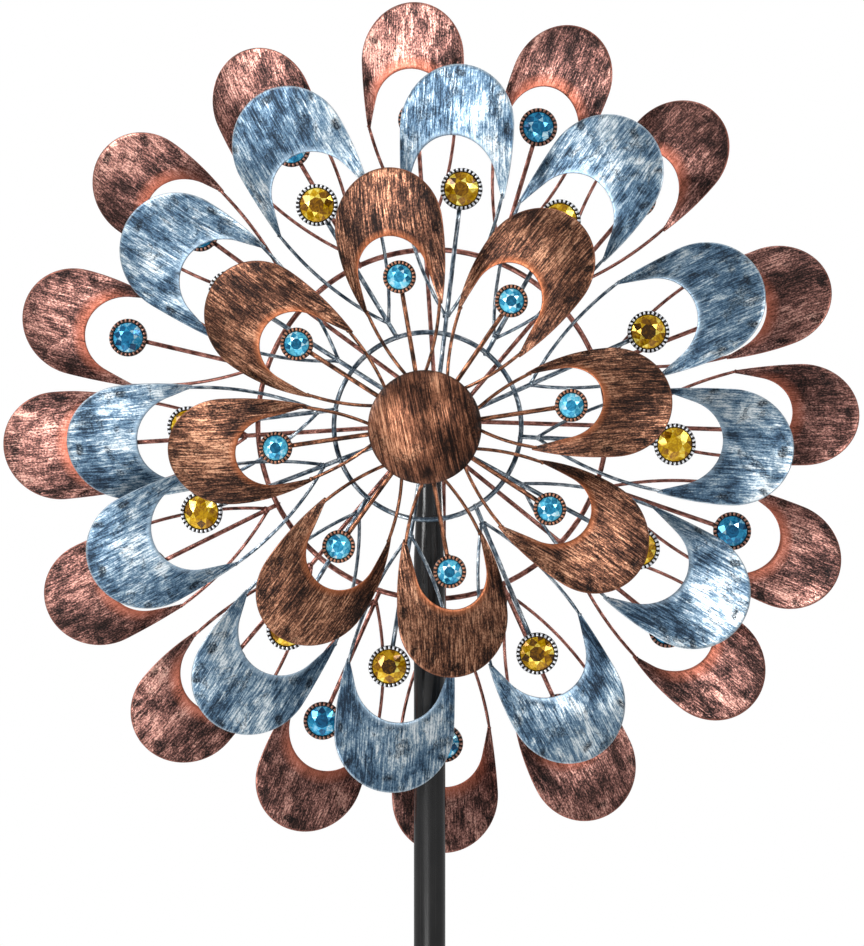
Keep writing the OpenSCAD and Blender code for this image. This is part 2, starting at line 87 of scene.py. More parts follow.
# %% [markdown]
# ## The camera
# A long lens a few metres away, a touch to the right and a touch above, keeps the three
# rotors nearly concentric while still showing which one stands in front. The lens is worked
# out from the height of the view at the pole, so the framing follows the real size.

# %% Place the camera
VIEW_HEIGHT = 0.6704
DISTANCE = 3.0
TURN, LIFT = math.radians(2.5), math.radians(1.54)
look = Vector((-math.sin(TURN) * math.cos(LIFT), math.cos(TURN) * math.cos(LIFT), -math.sin(LIFT)))
right = Vector((math.cos(TURN), math.sin(TURN), 0))
up = right.cross(look)
hub_point = Vector((0, 0, axle_height))
AIM_RIGHT, AIM_BELOW = 0.0017, 0.0338
target = hub_point + right * AIM_RIGHT - up * AIM_BELOW

camera_data = bpy.data.cameras.new("camera")
SENSOR = 36
camera_data.sensor_width = SENSOR
camera_data.lens = SENSOR * DISTANCE / VIEW_HEIGHT
camera_data.clip_end = 100
camera = bpy.data.objects.new("camera", camera_data)
camera.location = target - look * DISTANCE
camera.rotation_euler = look.to_track_quat("-Z", "Y").to_euler()
bpy.context.collection.objects.link(camera)
bpy.context.scene.camera = camera
print("lens", round(camera_data.lens, 1))

# %% [markdown]
# ## Studio
# A plain pale floor and large soft lights. The sky is white behind the sculpture and a
# quieter grey for everything it reflects, so that the gloss on the pole stays readable.

# %% Floor, sky and lights
def make_object(name, verts, faces, smooth=True):
    mesh = bpy.data.meshes.new(name)
    mesh.from_pydata([tuple(map(float, v)) for v in verts], [],
                     [tuple(map(int, f)) for f in faces])
    mesh.update()
    if smooth:
        mesh.shade_smooth()
    obj = bpy.data.objects.new(name, mesh)
    bpy.context.collection.objects.link(obj)
    return obj


floor_z = cad_bounds[0][2]
FLOOR_R, FLOOR_SIDES = 9, 96
rim = [(FLOOR_R * math.cos(a), FLOOR_R * math.sin(a), floor_z)
       for a in np.linspace(0, 2 * math.pi, FLOOR_SIDES, False)]
floor = make_object("floor", rim, [range(FLOOR_SIDES)], smooth=False)

world = bpy.data.worlds.new("studio")
world.use_nodes = True
bpy.context.scene.world = world
wn, wl = world.node_tree.nodes, world.node_tree.links
wn.clear()
sky_out = wn.new("ShaderNodeOutputWorld")
seen, lit, path, blend_sky = (wn.new("ShaderNode" + k) for k in
                              ("Background", "Background", "LightPath", "MixShader"))
seen.inputs["Color"].default_value = (1, 1, 1, 1)
seen.inputs["Strength"].default_value = 1.0
lit.inputs["Color"].default_value = (0.98, 0.99, 1, 1)
lit.inputs["Strength"].default_value = 0.36
wl.new(path.outputs["Is Camera Ray"], blend_sky.inputs[0])
wl.new(lit.outputs[0], blend_sky.inputs[1])
wl.new(seen.outputs[0], blend_sky.inputs[2])
wl.new(blend_sky.outputs[0], sky_out.inputs["Surface"])
bpy.context.scene.view_settings.view_transform = "Standard"


def softbox(name, place, aim, width, height, power, tint=(1, 1, 1)):
    data = bpy.data.lights.new(name, "AREA")
    data.shape, data.size, data.size_y = "RECTANGLE", width, height
    data.energy, data.color = power, tint
    lamp = bpy.data.objects.new(name, data)
    lamp.location = place
    lamp.rotation_euler = (Vector(aim) - Vector(place)).to_track_quat("-Z", "Y").to_euler()
    bpy.context.collection.objects.link(lamp)
    return lamp


aim = (0, 0, axle_height)
softbox("left", (-2.0, -1.9, axle_height + 0.9), aim, 1.1, 1.9, 78)
softbox("upper_right", (1.8, -2.0, axle_height + 1.1), aim, 0.9, 1.4, 40)
softbox("low_left", (-0.8, -2.4, axle_height - 1.2), aim, 1.3, 0.7, 30)
softbox("top", (0.1, 0.2, axle_height + 2.4), aim, 1.4, 0.9, 14)
softbox("back_left", (-1.9, 2.2, axle_height + 0.9), aim, 1.0, 1.4, 34)
softbox("back_right", (1.8, 2.4, axle_height + 0.5), aim, 0.8, 1.4, 22)
print("floor at", round(floor_z, 4))

# %% [markdown]
# ## A small kit for materials
# Finishes on this piece are all layered: a base coat, brushed streaks, grain, smudges and
# worn edges. Each layer is a noise stretched in the direction the maker's brush moved.

# %% Material kit
def tone(r, g, b):
    """A colour given as everyday 0 to 255 values, as the linear values nodes use."""
    return tuple(((c / 255 + 0.055) / 1.055) ** 2.4 if c > 10 else c / 255 / 12.92
                 for c in (r, g, b)) + (1.0,)


class Paint:
    """A material with a Principled shader and short names for the nodes that feed it."""

    def __init__(self, name, metallic=0.0, rough=0.5, coat=0.0, ior=1.45):
        self.mat = bpy.data.materials.new(name)
        self.mat.use_nodes = True
        self.tree = self.mat.node_tree
        self.shader = self.tree.nodes["Principled BSDF"]
        self.shader.inputs["Metallic"].default_value = metallic
        self.shader.inputs["Roughness"].default_value = rough
        self.shader.inputs["IOR"].default_value = ior
        self.shader.inputs["Coat Weight"].default_value = coat
        self.shader.inputs["Coat Roughness"].default_value = 0.12

    def add(self, kind, feeds=(), **settings):
        n = self.tree.nodes.new("ShaderNode" + kind)
        for key, value in settings.items():
            setattr(n, key, value)
        for slot_name, value in dict(feeds).items():
            if isinstance(value, bpy.types.NodeSocket):
                self.tree.links.new(value, n.inputs[slot_name])
            else:
                n.inputs[slot_name].default_value = value
        return n

    def sheet_uv(self, layer):
        return self.add("UVMap", uv_map=layer).outputs["UV"]

    def place(self):
        return self.add("TexCoord").outputs["Object"]

    def noise(self, vec, stretch, detail=3.0, rough=0.55, shift=(0, 0, 0), distort=0.0):
        m = self.add("Mapping", {"Vector": vec, "Scale": stretch, "Location": shift})
        return self.add("TexNoise", {"Vector": m.outputs[0], "Scale": 1.0, "Detail": detail,
                                     "Roughness": rough, "Distortion": distort}).outputs["Fac"]

    def sums(self, *pairs):
        total = None
        for value, weight in pairs:
            m = self.add("Math", {0: value, 1: weight, 2: 0.0 if total is None else total},
                         operation="MULTIPLY_ADD")
            total = m.outputs[0]
        return total

    def math(self, op, a, b=0.0):
        return self.add("Math", {0: a, 1: b}, operation=op).outputs[0]

    def fade(self, value, start, end, low=0.0, high=1.0):
        return self.add("MapRange", {"Value": value, "From Min": start, "From Max": end,
                                     "To Min": low, "To Max": high}).outputs["Result"]

    def spread(self, value, edge):
        """Stretch a noise, which gathers near a half, over the whole range from 0 to 1."""
        return self.fade(value, edge, 1 - edge)

    def ramp(self, value, *stops):
        n = self.add("ValToRGB", {"Fac": value})
        bar = n.color_ramp
        while len(bar.elements) < len(stops):
            bar.elements.new(0.5)
        for e, (at, colour) in zip(bar.elements, stops):
            e.position, e.color = at, colour
        return n.outputs["Color"]

    def over(self, amount, under, top):
        n = self.add("Mix", data_type="RGBA")
        for i, value in ((0, amount), (6, under), (7, top)):
            if isinstance(value, bpy.types.NodeSocket):
                self.tree.links.new(value, n.inputs[i])
            else:
                n.inputs[i].default_value = value
        return n.outputs[2]

    def finish(self, colour=None, rough=None, bump=None, strength=0.3, depth=0.0003):
        for slot_name, value in (("Base Color", colour), ("Roughness", rough)):
            if value is not None:
                self.tree.links.new(value, self.shader.inputs[slot_name])
        if bump is not None:
            b = self.add("Bump", {"Height": bump, "Strength": strength, "Distance": depth})
            self.tree.links.new(b.outputs["Normal"], self.shader.inputs["Normal"])
        return self.mat


floor_paint = Paint("studio_floor", rough=0.9)
dust = floor_paint.noise(floor_paint.place(), (1.2, 1.2, 1.2), 4)
floor.data.materials.append(floor_paint.finish(floor_paint.ramp(dust, (0.3, tone(232, 232, 232)),
                                                                (0.7, tone(240, 240, 240)))))
print("material kit ready")

# %% [markdown]
# ## Worn sheet finishes
# The petals are painted, then dragged with a nearly dry brush along their length, so the
# streaks run out from the hub. A dark patina is rubbed in afterwards and stays in the brush
# marks and in the small dents that the press left. Handling has rubbed the cut edges bright.
# Three coats of the same recipe give dark copper in front, worn blue in the middle and rose
# copper behind. The streaks follow each petal, so they read the petal's own flat coordinates.

# %% Petal finishes
def brushed_sheet(name, tones, patina, rub_tone, hem_tone, band=0.004, metallic=0.6,
                  rough=(0.52, 0.3), weights=(0.34, 0.26, 0.2, 0.2, 0.24), strokes=(36, 600),
                  contrast=1.0, worn_band=0.9):
    """weights: how much the drag, hairs, specks, patches and clouds count, in that order."""
    p = Paint(name, metallic=metallic)
    uv = p.sheet_uv("sheet")
    near = p.add("SeparateXYZ", {0: p.sheet_uv("edges")})
    gap_in, gap_out = near.outputs["X"], near.outputs["Y"]
    press = p.add("Attribute", attribute_name="press").outputs["Fac"]
    drag = p.spread(p.noise(uv, (*strokes, 1), 6, 0.72, distort=0.15), 0.36)
    hairs = p.spread(p.noise(uv, (95, 1000, 1), 3, 0.65, shift=(5, 2, 0)), 0.37)
    specks = p.spread(p.noise(uv, (620, 880, 1), 2, 0.7, shift=(1, 7, 0)), 0.37)
    patches = p.spread(p.noise(uv, (62, 110, 1), 5, 0.7, shift=(2, 6, 0), distort=0.7), 0.38)
    clouds = p.spread(p.noise(uv, (19, 25, 1), 3, 0.6, shift=(3, 3, 0), distort=0.8), 0.36)
    level = p.sums(*zip((drag, hairs, specks, patches, clouds), weights))
    mid = sum(weights) / 2
    stops = [mid + contrast * k for k in (-0.3, -0.2, -0.1, 0.0, 0.1, 0.2, 0.33)]
    colour = p.ramp(level, *zip(stops, tones))
    blot = p.spread(p.noise(uv, (52, 64, 1), 6, 0.74, shift=(9, 1, 0), distort=1.0), 0.4)
    blots = p.math("MULTIPLY", p.fade(blot, 0.66, 0.95), p.fade(specks, 0.1, 0.7, 0.95, 0.4))
    marks = p.math("MULTIPLY", p.fade(press, 0.1, 0.5), p.fade(specks, 0.2, 0.9, 1, 0.5))
    colour = p.over(p.math("MAXIMUM", p.math("MULTIPLY", blots, 0.85), marks), colour, patina)
    wide = p.fade(p.math("ADD", gap_in, gap_out), 0.011, 0.032)
    rub = p.math("MULTIPLY", p.fade(gap_in, 0.0006, band, worn_band, 0),
                 p.fade(level, 0.3, 0.6, 0.25, 1))
    colour = p.over(p.math("MULTIPLY", rub, wide), colour, rub_tone)
    hem = p.math("MULTIPLY", p.fade(gap_out, 0.0, 0.0015, 1, 0), p.fade(hairs, 0.1, 0.7, 0.3, 0.9))
    colour = p.over(hem, colour, hem_tone)
    height = p.sums((level, 1.0), (blots, -0.3), (rub, -0.2))
    return p.finish(colour, p.fade(level, 0.3, 0.85, *rough), height, 0.3, 0.0005)


dark_copper = brushed_sheet(
    "dark_copper_sheet",
    [tone(20, 12, 10), tone(42, 26, 20), tone(62, 40, 31), tone(90, 58, 44), tone(124, 82, 61),
     tone(162, 113, 88), tone(206, 156, 124)],
    tone(16, 11, 10), tone(162, 94, 60), tone(140, 88, 64), band=0.0058, metallic=0.8,
    contrast=0.86)
worn_blue = brushed_sheet(
    "worn_blue_sheet",
    [tone(22, 38, 54), tone(44, 66, 87), tone(63, 90, 114), tone(88, 114, 135),
     tone(124, 145, 160), tone(168, 181, 189), tone(214, 220, 223)],
    tone(14, 22, 32), tone(150, 172, 190), tone(176, 190, 200), band=0.0044, metallic=0.65,
    worn_band=0.75, weights=(0.34, 0.22, 0.16, 0.26, 0.34), contrast=0.96)
rose_copper = brushed_sheet(
    "rose_copper_sheet",
    [tone(24, 15, 13), tone(48, 31, 28), tone(72, 48, 44), tone(104, 70, 64), tone(142, 97, 88),
     tone(182, 131, 119), tone(220, 172, 156)],
    tone(16, 12, 12), tone(190, 108, 84), tone(164, 102, 86), band=0.0105, metallic=0.75,
    weights=(0.24, 0.2, 0.3, 0.26, 0.28), contrast=0.96)
print("petal finishes:", dark_copper.name, worn_blue.name, rose_copper.name)

# %% [markdown]
# ## The petals
# A petal is a horseshoe cut from thin sheet, pressed to a shallow dish and pitched about its
# own radius so that the wind pushes it round. The mesh is a strip: it runs from one horn,
# round the outside, to the other horn, and across from the inner cut to the outer edge. A
# strip keeps the rows of faces parallel to both edges, which makes the rubbed bands crisp.
# A flat disc with a boolean cut would give the same outline, but its faces would be long
# slivers that shade badly once the sheet is cupped. All sizes below are in millimetres.

# %% Rotor sizes
SHEET, CUT_SHIFT, HORN = 1.0, 1.8, 1.4
rotors = {
    "front": dict(
        apex=178.7, hw=41.1, band=47.3, cut=26.4, dish=150, tip=79.3, tips=(29.9, -28.0),
        bezel=22.8, gem_r=103.1, leg_turn=22, teeth=24, coat=dark_copper,
        petals=[(99.5, 2.6, 0.1, 21.8), (54.5, -1.6, -1, 20.1), (6.9, -6.8, -1.7, 24.3),
                (-34, -0.2, 2.7, 22.5), (-82.3, -4.1, -1.1, 24.8), (-125.3, -1.3, 2.5, 23.4),
                (-173.6, 0.4, -1.2, 26), (146, -1.8, 0.3, 18.4)],
        gems=[(99.6, 2), (55.5, 2.5), (8.4, -0.8), (-33.2, 0.2), (-80.2, -1.5), (-125.8, -1),
              (-172, 1.2), (147.1, 2.5)]),
    "middle": dict(
        apex=255.5, hw=43.5, band=49.9, cut=32.5, dish=220, tip=161.6, tips=(43.0, -35.4),
        bezel=29.4, gem_r=171.0, leg_turn=26, teeth=28, coat=worn_blue, ring=65.7, fork=79.2,
        petals=[(116, 5.2, 4.4, 19.1), (84, -1.3, 4.8, 21.5), (54.7, 2.3, 1.2, 19.1),
                (24.1, 0, 1.8, 21.1), (-4.2, 1.2, 1.4, 22), (-32.1, 4.1, 3.6, 21.8),
                (-63.5, 4.3, 3.2, 22.1), (-96.5, 3.4, 4.2, 18.1), (-125.5, 2.3, 4, 20.8),
                (-156.4, 3.2, 5.7, 18), (182.8, -1.6, 4.4, 21.9), (144.9, -0.1, 4.4, 16.1)],
        gems=[(116.6, 2), (81.8, -3.5), (57.2, 0), (23.1, -3), (-4.2, 2.5), (-30, 0), (-64.2, 6),
              (-99, -0.2), (-124.6, 2.4), (-159.1, -1), (180.3, -2.9), (145.8, -3.1)],
        feet=[109, 79.5, 51, 21.6, -6.5, -32.3, -59, -98.8, -130, -159, 170, 143]),
    "rear": dict(
        apex=304.5, hw=40.3, band=47.8, cut=30.2, dish=200, tip=215.4, tips=(39.8, -31.1),
        bezel=27.2, gem_r=226.5, leg_turn=24, teeth=26, coat=rose_copper, ring=125.4, fork=134.7,
        petals=[(92.8, -1.8, -0.3, 22.3), (69.1, -1, 1.2, 27), (47.7, -3.3, 2.8, 27),
                (20.2, -1.9, 1.1, 27), (1.3, 1.3, 1.4, 27), (-20.5, 6.1, -0.6, 24.2),
                (-41, 0.6, 2.7, 24), (-66.3, 3.3, 3.6, 22.5), (-88.2, 3.9, 2.5, 21.6),
                (-109.4, 4.8, 0, 22.9), (-131, 7.1, 1.1, 18.9), (-153.3, 4.2, 0.8, 18.8),
                (-176.9, 5.1, 2.7, 15), (163.7, 1.7, 2.6, 18.7), (140.1, 3.2, 4.8, 20.7),
                (117.7, -4.1, -1.9, 25)],
        gems=[(92.8, -8), (70.3, -0.5), (47.7, -8), (20, 0), (-1, 0), (-19.5, 1.7), (-40.9, -2.9),
              (-66, 0), (-87.8, 3), (-110.3, 1), (-130.5, 0), (-153.1, 2.5), (-176.5, 0),
              (164.1, 1), (140.5, -10), (117, -4)],
        feet=[92.1, 68, 46.2, 19.1, -0.4, -20, -42.5, -66.2, -86.1, -107.4, -130.8, -152.6, -176.5,
              161.7, 138, 114.5]),
}
for key, s in rotors.items():
    s["mid"] = (s["apex"] + s["tip"]) / 2
    s["drop"] = math.sqrt(s["dish"] ** 2 - (s["mid"] - s["tip"]) ** 2 - s["tips"][1] ** 2)
    print(key, len(s["petals"]), "petals, each", round(s["apex"] - s["tip"]), "mm long")


# %% [markdown]
# ## One outline for every petal
# The outline is two arcs that run from the horns into a round end, and one round cut set a
# little off centre, so that one horn is broader than the other. A curve object could be drawn
# and converted, but plain arcs keep the same number of points on both edges, and those points
# pair up into the rows of the strip.

# %% The flat outline of a petal
def arc_points(cx, cy, r, a0, a1, n):
    a = np.radians(np.linspace(a0, a1, n))
    return np.c_[cx + r * np.cos(a), cy + r * np.sin(a)]


def even(path, n):
    """The same path with its points spread evenly along it."""
    run = np.r_[0, np.cumsum(np.linalg.norm(np.diff(path, axis=0), axis=1))]
    at = np.linspace(0, run[-1], n)
    return np.c_[np.interp(at, run, path[:, 0]), np.interp(at, run, path[:, 1])]


def petal_edges(s, rows=104):
    """Matching points along the outer edge and along the inner cut, horn to horn."""
    c, length = s["apex"] - s["hw"], s["apex"] - s["hw"] - s["tip"]
    sides = []
    for inset in (s["hw"] - s["tips"][0], s["hw"] + s["tips"][1]):
        r = (inset ** 2 + length ** 2) / (2 * inset)
        sides.append((r, math.degrees(math.asin(length / r))))
    (r0, sweep0), (r1, sweep1) = sides
    outer = np.vstack([arc_points(c, r1 - s["hw"], r1, -90 - sweep1, -90, 40),
                       arc_points(c, 0, s["hw"], -90, 90, 120)[1:-1],
                       arc_points(c, s["hw"] - r0, r0, 90, 90 + sweep0, 40)])
    m = np.array((s["apex"] - s["band"] - s["cut"], CUT_SHIFT))
    low = np.array((s["tip"], s["tips"][1] + HORN))
    high = np.array((s["tip"], s["tips"][0] - HORN))
    ends = []
    for point, way in ((low, -1), (high, 1)):
        v = point - m
        ends.append(math.degrees(math.atan2(v[1], v[0]) - way * math.acos(s["cut"] / np.hypot(*v))))
    inner = np.vstack([low, arc_points(*m, s["cut"], ends[0], ends[1], 120), high])
    return even(outer, rows), even(inner, rows)


print("petal rows:", len(petal_edges(rotors["front"])[0]))


# %% [markdown]
# ## Cupping and placing
# The dish is part of a sphere. The flat outline is lifted onto it, pitched about its middle
# line, swung a little and moved out to its place. Object rotations would do the same, but
# working on the points leaves every piece in the frame's own axes, ready to ride its rotor.

# %% From the flat outline to its place on the rotor
def spin(points, angle):
    c, n = math.cos(math.radians(angle)), math.sin(math.radians(angle))
    x, y, z = np.asarray(points, float).T
    return np.c_[x * c - y * n, x * n + y * c, z]


def on_rotor(points, s, petal):
    """Pitch a petal about its own middle line, swing it a little, and move it out to its place."""
    turn, out, swing, pitch = petal
    x, y, z = np.atleast_2d(points).astype(float).T
    c, n = math.cos(math.radians(pitch)), math.sin(math.radians(pitch))
    tilted = np.c_[x - s["mid"], y * c + z * n, z * c - y * n]
    return spin(spin(tilted, swing) + (s["mid"] + out, 0, 0), turn)


def to_frame(points, key):
    x, y, z = np.asarray(points, float).T
    return np.c_[x * MM, planes[key] - z * MM, axle_height + y * MM]


def dish_height(x, y, s, inset=0.0):
    return np.sqrt((s["dish"] - inset) ** 2 - (x - s["mid"]) ** 2 - y ** 2) - s["drop"]


cupped = rotors["front"]
print("dish depth of a front petal", round(float(dish_height(cupped["mid"], 0, cupped)), 1), "mm")


# %% Mesh helpers
def set_uv(mesh, layer, values):
    """values holds one (u, v) per vertex."""
    uv = mesh.uv_layers.new(name=layer)
    loops = np.zeros(len(mesh.loops), int)
    mesh.loops.foreach_get("vertex_index", loops)
    uv.data.foreach_set("uv", np.asarray(values, float)[loops].ravel())


def set_values(mesh, name, values, domain="POINT"):
    layer = mesh.attributes.new(name, "FLOAT", domain)
    layer.data.foreach_set("value", np.asarray(values, np.float32))


def strip_faces(rows, across):
    """Quads of a closed tube of rows, with flat ends."""
    f = [(r * across + i, r * across + (i + 1) % across, (r + 1) * across + (i + 1) % across,
          (r + 1) * across + i) for r in range(rows - 1) for i in range(across)]
    return f + [tuple(range(across))[::-1], tuple(range((rows - 1) * across, rows * across))]


print("mesh helpers ready")

# %% [markdown]
# ## Press marks
# The tool that cupped each petal left the same few marks on every one: a crescent near the
# top and short creases at the shoulders. They are real dents, so they are pushed into the
# mesh. How close a point is to a mark is kept on the mesh too, for the patina to settle in.

# %% Dents in a petal
MARKS = [(-8, -1.5, 84, 5.0), (-23, 0.82, 48, 4.0), (-21, -0.77, -40, 5.0), (-47, -0.88, -8, 4.0),
         (-57, 0.93, 12, 3.0)]


def press_marks(x, y, s, rng):
    """How deep the dents are, and how near each point is to one."""
    deep, near = np.zeros_like(x), np.zeros_like(x)
    for out, side, heading, length in MARKS:
        cx = s["apex"] + out + rng.normal(0, 1.6)
        cy = (side if abs(side) > 1 else side * s["hw"]) + rng.normal(0, 1.4)
        a = math.radians(heading + rng.normal(0, 14))
        along = (x - cx) * math.cos(a) + (y - cy) * math.sin(a)
        aside = (y - cy) * math.cos(a) - (x - cx) * math.sin(a) + 0.03 * along ** 2
        gap = np.hypot(np.maximum(np.abs(along) - length / 2, 0), aside)
        force = rng.uniform(0.5, 1.1)
        deep -= force * (0.75 * np.exp(-(gap / 1.9) ** 2) - 0.3 * np.exp(-(gap / 4.5) ** 2))
        near = np.maximum(near, min(force, 1) * np.exp(-(gap / 2.2) ** 2))
    return deep, near


print("marks on each petal:", len(MARKS))


# %% [markdown]
# ## Building a petal
# Each petal has a front face, a back face a sheet's thickness behind it, and walls that close
# the two into one solid. A solidify modifier is the usual way; here the two faces are made
# separately so that the front can have more points, where the dents and streaks are seen.

# %% Petal mesh
def petal_mesh(name, key, index):
    s = rotors[key]
    rng = np.random.default_rng(1000 + 40 * len(s["petals"]) + index)
    outer, inner = petal_edges(s)
    width = np.linalg.norm(outer - inner, axis=1)
    waves = rng.uniform(0.05, 0.13, (5, 2)) * rng.choice([-1, 1], (5, 2))
    phase = rng.uniform(0, 6.28, 5)
    seed = rng.uniform(-3, 3, 2)
    mark_seed = int(rng.integers(1 << 30))

    def face(steps, drop):
        flat = inner[:, None, :] + (outer - inner)[:, None, :] * steps[None, :, None]
        x, y = flat[..., 0], flat[..., 1]
        deep, near = press_marks(x, y, s, np.random.default_rng(mark_seed))
        calm = (np.clip(np.minimum(steps, 1 - steps) * 5, 0, 1)[None, :]
                * np.clip(width / 20, 0, 1)[:, None])
        wavy = sum(np.cos(waves[i, 0] * x + waves[i, 1] * y + phase[i]) for i in range(5))
        edge = np.where((steps == 0) | (steps == 1), 0.3, 0.0)[None, :]
        z = dish_height(x, y, s) + (0.13 * wavy - 0.2 + deep) * calm
        z = z - edge if drop == 0 else z - drop + edge
        gaps = np.dstack([steps[None, :] * width[:, None], (1 - steps)[None, :] * width[:, None]])
        return np.dstack([x, y, z]), flat, gaps, near

    steps = np.r_[0, 0.015, np.linspace(0.055, 0.945, 20), 0.985, 1]
    few = np.r_[0, 0.03, np.linspace(0.12, 0.88, 7), 0.97, 1]
    top, top_flat, top_gap, top_near = face(steps, 0)
    low, low_flat, low_gap, low_near = face(few, SHEET)
    rows, a, b = len(outer), len(steps), len(few)
    n = rows * a
    f = [(r * a + i, r * a + i + 1, (r + 1) * a + i + 1, (r + 1) * a + i)
         for r in range(rows - 1) for i in range(a - 1)]
    f += [(n + r * b + i, n + (r + 1) * b + i, n + (r + 1) * b + i + 1, n + r * b + i + 1)
          for r in range(rows - 1) for i in range(b - 1)]
    f += [(r * a, (r + 1) * a, n + (r + 1) * b, n + r * b) for r in range(rows - 1)]
    f += [(r * a + a - 1, n + r * b + b - 1, n + (r + 1) * b + b - 1, (r + 1) * a + a - 1)
          for r in range(rows - 1)]
    for r, flip in ((0, 1), (rows - 1, -1)):
        loop = [r * a + i for i in range(a)] + [n + r * b + i for i in range(b)][::-1]
        f.append(tuple(loop[::-flip]))
    pts = np.vstack([top.reshape(-1, 3), low.reshape(-1, 3)])
    placed = to_frame(on_rotor(pts, s, s["petals"][index]), key)
    obj = make_object(name, placed, [q[::-1] for q in f])
    flat = np.vstack([top_flat.reshape(-1, 2), low_flat.reshape(-1, 2) + (900, 0)])
    set_uv(obj.data, "sheet", flat * MM + seed)
    set_uv(obj.data, "edges", np.vstack([top_gap.reshape(-1, 2), low_gap.reshape(-1, 2)]) * MM)
    set_values(obj.data, "press", np.r_[top_near.ravel(), low_near.ravel()])
    obj.data.materials.append(s["coat"])
    return obj


def settle(obj, key, *stands_for, slot=None):
    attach(obj, key + "_rotor")
    if stands_for:
        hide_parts(*stands_for)
    return obj


for key, spec in rotors.items():
    half = len(spec["petals"]) // 2
    for i in range(len(spec["petals"])):
        node = f"front_petal_{i + 1}" if key == "front" else f"{key}_petals_{i % half + 1}"
        settle(petal_mesh(f"{key}_leaf_{i + 1}", key, i), key, node)
print("petals made:", sum(len(s["petals"]) for s in rotors.values()))

# %% [markdown]
# ## The wires
# Spokes run straight from the hub or the ring out to the gem settings, and two thinner legs
# bow out from each fork to the horns of its petal. A wire is a tube swept along its path;
# the arc is the same one that the frame uses, so the ends meet the horns exactly. Lumps of
# weld sit where wires meet. A curve with a round bevel is the quick way to a wire; a swept
# tube is used instead because it carries a length along the wire for the finish to follow.

# %% Wire finish
def wire_finish(name, low, mid, high):
    p = Paint(name, metallic=0.85)
    uv = p.sheet_uv("sheet")
    along = p.spread(p.noise(uv, (70, 520, 1), 4, 0.65), 0.38)
    patch = p.spread(p.noise(uv, (160, 160, 1), 5, 0.7, shift=(4, 2, 0)), 0.38)
    level = p.sums((along, 0.5), (patch, 0.5))
    colour = p.ramp(level, (0.2, low), (0.5, mid), (0.85, high))
    return p.finish(colour, p.fade(level, 0.2, 0.9, 0.45, 0.26), level, 0.5, 0.0004)


wire_coats = {
    "front": wire_finish("dark_copper_wire", tone(40, 26, 21), tone(104, 66, 47),
                         tone(188, 126, 94)),
    "middle": wire_finish("worn_blue_wire", tone(40, 52, 64), tone(92, 108, 122),
                          tone(196, 204, 210)),
    "rear": wire_finish("rose_copper_wire", tone(62, 38, 34), tone(128, 80, 70),
                        tone(192, 134, 120)),
}
print("wire finishes:", [m.name for m in wire_coats.values()])


# %% Sweep and weld helpers
def frames_along(path):
    """A tangent and two normals at each point, turned as little as possible."""
    t = np.gradient(path, axis=0)
    t /= np.linalg.norm(t, axis=1)[:, None]
    side = np.cross(t[0], (0.31, 0.87, 0.38))
    side /= np.linalg.norm(side)
    a = [side]
    for i in range(1, len(path)):
        v = a[-1] - t[i] * np.dot(a[-1], t[i])
        a.append(v / np.linalg.norm(v))
    a = np.array(a)
    return t, a, np.cross(t, a)


class Bundle:
    """Collects many tubes and lumps into one mesh with a flat coordinate for its finish."""

    def __init__(self):
        self.verts, self.faces, self.uv, self.count = [], [], [], 0

    def take(self, verts, faces, uv):
        self.faces += [tuple(i + self.count for i in f) for f in faces]
        self.verts.append(verts)
        self.uv.append(uv)
        self.count += len(verts)

    def tube(self, path, radius, sides=12, closed=False):
        path = np.asarray(path, float)
        _, a, b = frames_along(path)
        if closed:
            a, b = path - path.mean(0), np.zeros_like(path) + (0, 0, 1)
            a /= np.linalg.norm(a, axis=1)[:, None]
        radius = np.broadcast_to(radius, len(path))
        turn = np.linspace(0, 2 * math.pi, sides, endpoint=False)
        ringed = (path[:, None] + radius[:, None, None] * (np.cos(turn)[None, :, None] * a[:, None]
                  + np.sin(turn)[None, :, None] * b[:, None]))
        run = np.r_[0, np.cumsum(np.linalg.norm(np.diff(path, axis=0), axis=1))]
        uv = np.dstack(np.broadcast_arrays(run[:, None] + self.count % 977, turn[None, :] * 1.6))
        rows = len(path)
        faces = strip_faces(rows, sides)
        if closed:
            last = (rows - 1) * sides
            faces = faces[:-2] + [(last + i, last + (i + 1) % sides, (i + 1) % sides, i)
                                  for i in range(sides)]
        self.take(ringed.reshape(-1, 3), faces, uv.reshape(-1, 2))

    def lump(self, centre, size, rng, stretch=(1, 1, 1)):
        """A weld lump: a sphere of rings pushed in and out a little."""
        up_steps, round_steps = 7, 10
        lat = np.linspace(-math.pi / 2 + 0.2, math.pi / 2 - 0.2, up_steps)
        lon = np.linspace(0, 2 * math.pi, round_steps, endpoint=False)
        la, lo = np.meshgrid(lat, lon, indexing="ij")
        r = size * (1 + 0.14 * rng.standard_normal(la.shape))
        pts = np.dstack([r * np.cos(la) * np.cos(lo), r * np.cos(la) * np.sin(lo), r * np.sin(la)])
        pts = pts * stretch + centre
        uv = np.dstack([la * size + self.count % 877, lo * size])
        self.take(pts.reshape(-1, 3), strip_faces(up_steps, round_steps), uv.reshape(-1, 2))

    def build(self, name, key, coat):
        verts = to_frame(np.vstack(self.verts), key)
        obj = make_object(name, verts, self.faces)
        set_uv(obj.data, "sheet", np.vstack(self.uv) * MM)
        obj.data.materials.append(coat)
        return obj


def polar(r, a):
    return np.array([r * math.cos(math.radians(a)), r * math.sin(math.radians(a)), 0.0])


def unit(v):
    return v / np.linalg.norm(v)


